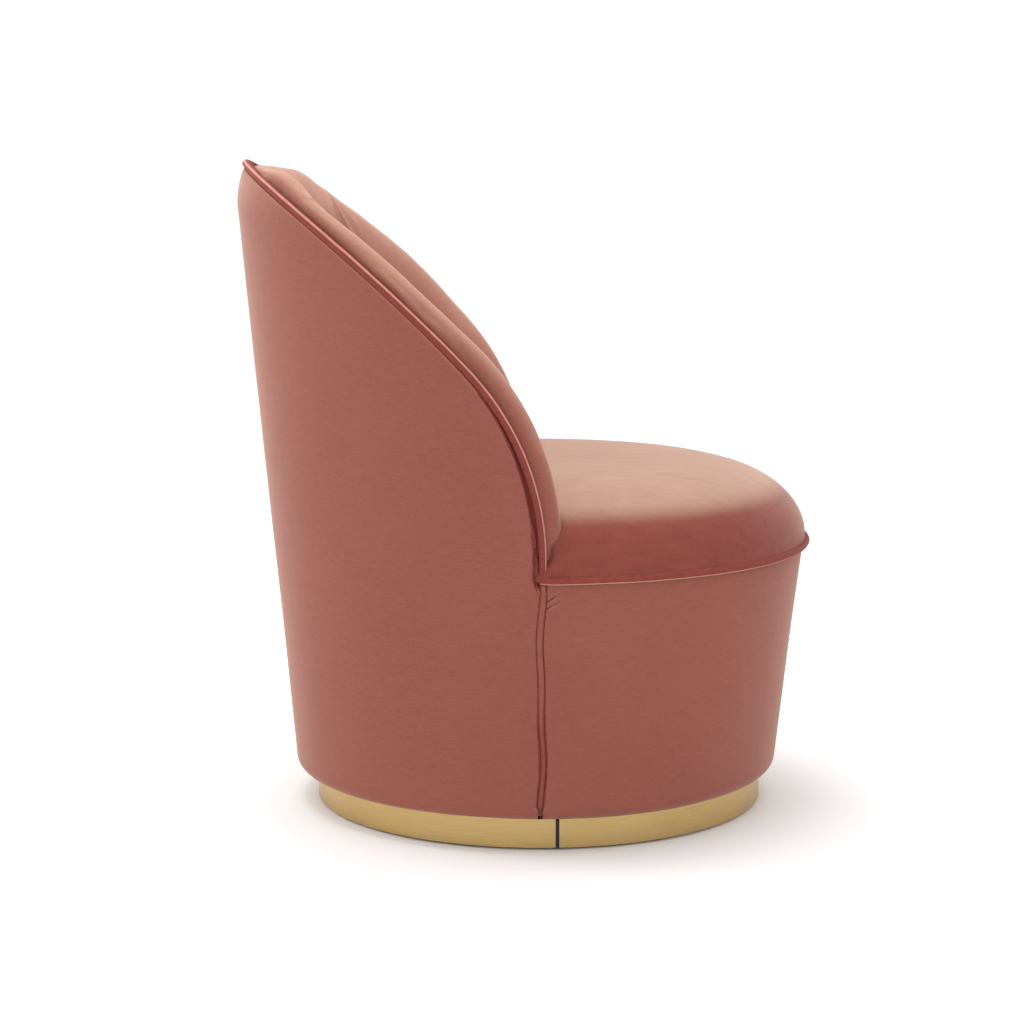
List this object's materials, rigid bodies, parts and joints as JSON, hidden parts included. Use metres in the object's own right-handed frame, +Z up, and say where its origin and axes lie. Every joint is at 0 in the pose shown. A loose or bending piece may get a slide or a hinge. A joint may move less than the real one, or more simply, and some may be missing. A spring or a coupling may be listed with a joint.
{
  "type": "glider chair",
  "caption": "Armless upholstered tub chair in rose velvet with a sloping curved back, crowned round seat and gold plinth, on a concealed swivel and four-bar glider.",
  "frame": {"origin": "on the floor, on the swivel's axis, at the middle of the plinth's underside", "axes": "+Z up; the sitter faces -Y; +X is the sitter's left"},
  "size_m": [0.6998, 0.7253, 0.8113],
  "materials": {
    "velvet": "dusty rose velvet, short pile",
    "cushion_foam": "cut foam",
    "webbing": "black woven strap",
    "plywood": "raw birch plywood",
    "gold_band": "brushed gold",
    "black_plastic": "matt black",
    "nylon": "natural nylon",
    "zinc_steel": "zinc plated",
    "black_steel": "black powder coat",
    "bumper_rubber": "moulded rubber"
  },
  "bodies": {
    "base": {"floor_glides": "black_plastic", "base_board": "plywood", "plinth_rim": "plywood", "plinth_band_front": "gold_band", "plinth_band_rear": "gold_band", "band_joiner_left": "black_plastic", "band_joiner_right": "black_plastic", "swivel_lower_plate": "zinc_steel", "plate_screws": "zinc_steel", "king_pin": "zinc_steel"},
    "ball_ring": {"swivel_balls": "zinc_steel", "ball_cage": "nylon"},
    "turntable": {"swivel_upper_plate": "zinc_steel", "glide_base_frame": "black_steel", "frame_rivets": "zinc_steel", "upper_pivot_rivets": "zinc_steel", "upper_pivot_washers": "nylon", "stop_bumpers": "bumper_rubber"},
    "front_links": {"front_glide_links": "black_steel", "front_link_bushes": "nylon"},
    "rear_links": {"rear_glide_links": "black_steel", "rear_link_bushes": "nylon"},
    "seat": {"lower_pivot_rivets": "zinc_steel", "lower_pivot_washers": "nylon", "side_rail_left": "black_steel", "side_rail_right": "black_steel", "cradle_cross_tubes": "black_steel", "cradle_bolts": "zinc_steel", "mounting_rails": "plywood", "lower_frame_ring": "plywood", "frame_posts": "plywood", "seat_frame_ring": "plywood", "front_border_panel": "plywood", "back_shell": "plywood", "back_top_rail": "plywood", "back_uprights": "plywood", "back_webbing": "webbing", "seat_springs": "zinc_steel", "spring_clips": "zinc_steel", "spring_pad": "cushion_foam", "seat_foam": "cushion_foam", "seat_cover": "velvet", "inside_back_pad_left": "velvet", "inside_back_pad_centre": "velvet", "inside_back_pad_right": "velvet", "outside_back_cover": "velvet", "front_border_cover": "velvet", "back_edge_welt": "velvet", "seat_welt": "velvet", "side_seam_left": "velvet", "side_seam_right": "velvet", "dust_cover": "webbing"}
  },
  "joints": [
    {"name": "swivel", "type": "hinge", "parent": "base", "child": "turntable", "pos_m": [0, 0, 0.03], "axis": [0, 0, 1], "continuous": true},
    {"name": "ball_ring_turn", "type": "hinge", "parent": "base", "child": "ball_ring", "pos_m": [0, 0, 0.0265], "axis": [0, 0, 1], "continuous": true},
    {"name": "glide", "type": "hinge", "parent": "turntable", "child": "front_links", "pos_m": [0, -0.07, 0.15], "axis": [1, 0, 0], "range_deg": [-25, 25]},
    {"name": "seat_level", "type": "hinge", "parent": "front_links", "child": "seat", "pos_m": [0, -0.07, 0.05], "axis": [1, 0, 0], "range_deg": [-25, 25]},
    {"name": "rear_link_swing", "type": "hinge", "parent": "turntable", "child": "rear_links", "pos_m": [0, 0.07, 0.15], "axis": [1, 0, 0], "range_deg": [-25, 25]}
  ],
  "couplings": [
    {"joint": "ball_ring_turn", "follows": "swivel", "ratio": 0.5},
    {"joint": "seat_level", "follows": "glide", "ratio": -1},
    {"joint": "rear_link_swing", "follows": "glide", "ratio": 1}
  ]
}
